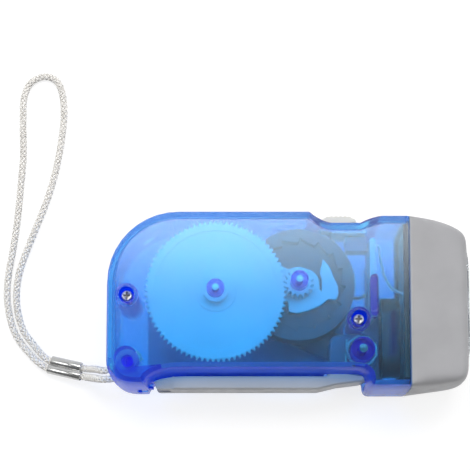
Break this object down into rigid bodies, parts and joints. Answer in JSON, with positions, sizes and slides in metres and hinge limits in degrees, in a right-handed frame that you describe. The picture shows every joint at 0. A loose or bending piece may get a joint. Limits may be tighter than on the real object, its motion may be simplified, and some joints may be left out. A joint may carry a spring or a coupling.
{
  "type": "squeeze dynamo flashlight",
  "caption": "Pocket flashlight with a spring-return squeeze lever that drives a geared flywheel dynamo in a translucent casing, with a lens head and wrist strap.",
  "frame": {"origin": "bottom centre of the flashlight's box as it lies on its far side, without the strap", "axes": "+X from the tail to the lens, +Y from the lever side to the switch side, +Z from the far half of the casing to the near half"},
  "size_m": [0.138, 0.1008, 0.036],
  "materials": {
    "casing_blue": "translucent blue moulding",
    "satin_grey": "satin grey moulding",
    "white_plastic": "white moulding",
    "grey_plastic": "plain grey moulding",
    "battery_wrap": "dark blue shrink sleeve",
    "lens_clear": "clear moulding",
    "lamp_clear": "clear resin",
    "mirror_coating": "bright coating",
    "board": "board laminate",
    "steel": "bright steel",
    "flywheel_metal": "dark cast metal",
    "magnet": "dark sintered magnet",
    "copper": "enamelled copper wire",
    "lead_white": "white insulation",
    "strap_cord": "braided silver-white cord",
    "ferrule_chrome": "polished sleeve"
  },
  "bodies": {
    "casing": {"near_shell": "casing_blue", "far_shell": "casing_blue", "screw_rear": "steel", "screw_front": "steel", "head_bezel": "satin_grey", "front_lens": "lens_clear", "reflector": "mirror_coating", "led_board": "board", "gear_tray": "grey_plastic", "led_lower": "lamp_clear", "led_middle": "lamp_clear", "led_upper": "lamp_clear", "slide_switch": "white_plastic", "circuit_board": "board", "battery_pack": "battery_wrap", "lever_pin": "steel", "lever_spring": "steel", "drive_shaft": "steel", "rotor_shaft": "steel", "coil_bobbin": "white_plastic", "stator_coil": "copper", "stator_plate_far": "steel", "stator_plate_near": "steel", "lamp_lead": "lead_white", "coil_lead": "copper", "wrist_strap": "strap_cord", "strap_ferrule": "ferrule_chrome"},
    "lever": {"lever": "satin_grey"},
    "drive_gear": {"drive_gear": "white_plastic"},
    "rotor_pinion": {"rotor_pinion": "white_plastic"},
    "flywheel": {"flywheel": "flywheel_metal", "ring_magnet": "magnet"},
    "switch_knob": {"switch_knob": "white_plastic"},
    "lock_slide": {"lock_slide": "casing_blue"}
  },
  "joints": [
    {"name": "lever_swing", "type": "hinge", "parent": "casing", "child": "lever", "pos_m": [0.0212, -0.01432, 0.018], "axis": [0, 0, 1], "range_deg": [0, 22], "stiffness_Nm_per_rad": 0.5, "springref_deg": 40.11},
    {"name": "drive_gear_spin", "type": "hinge", "parent": "casing", "child": "drive_gear", "pos_m": [-0.0209, 0.0032, 0.018], "axis": [0, 0, 1], "range_deg": [-207, 0]},
    {"name": "rotor_pinion_spin", "type": "hinge", "parent": "casing", "child": "rotor_pinion", "pos_m": [0.00323, 0.00561, 0.018], "axis": [0, 0, 1], "range_deg": [0, 1044]},
    {"name": "flywheel_spin", "type": "hinge", "parent": "casing", "child": "flywheel", "pos_m": [0.00323, 0.00561, 0.018], "axis": [0, 0, 1], "continuous": true},
    {"name": "switch_slide", "type": "slide", "parent": "casing", "child": "switch_knob", "axis": [1, 0, 0], "range_m": [0, 0.0035]},
    {"name": "lever_lock_slide", "type": "slide", "parent": "casing", "child": "lock_slide", "axis": [1, 0, 0], "range_m": [0, 0.0015]}
  ],
  "couplings": [
    {"joint": "drive_gear_spin", "follows": "lever_swing", "ratio": -9.3636},
    {"joint": "rotor_pinion_spin", "follows": "lever_swing", "ratio": 47.403}
  ]
}
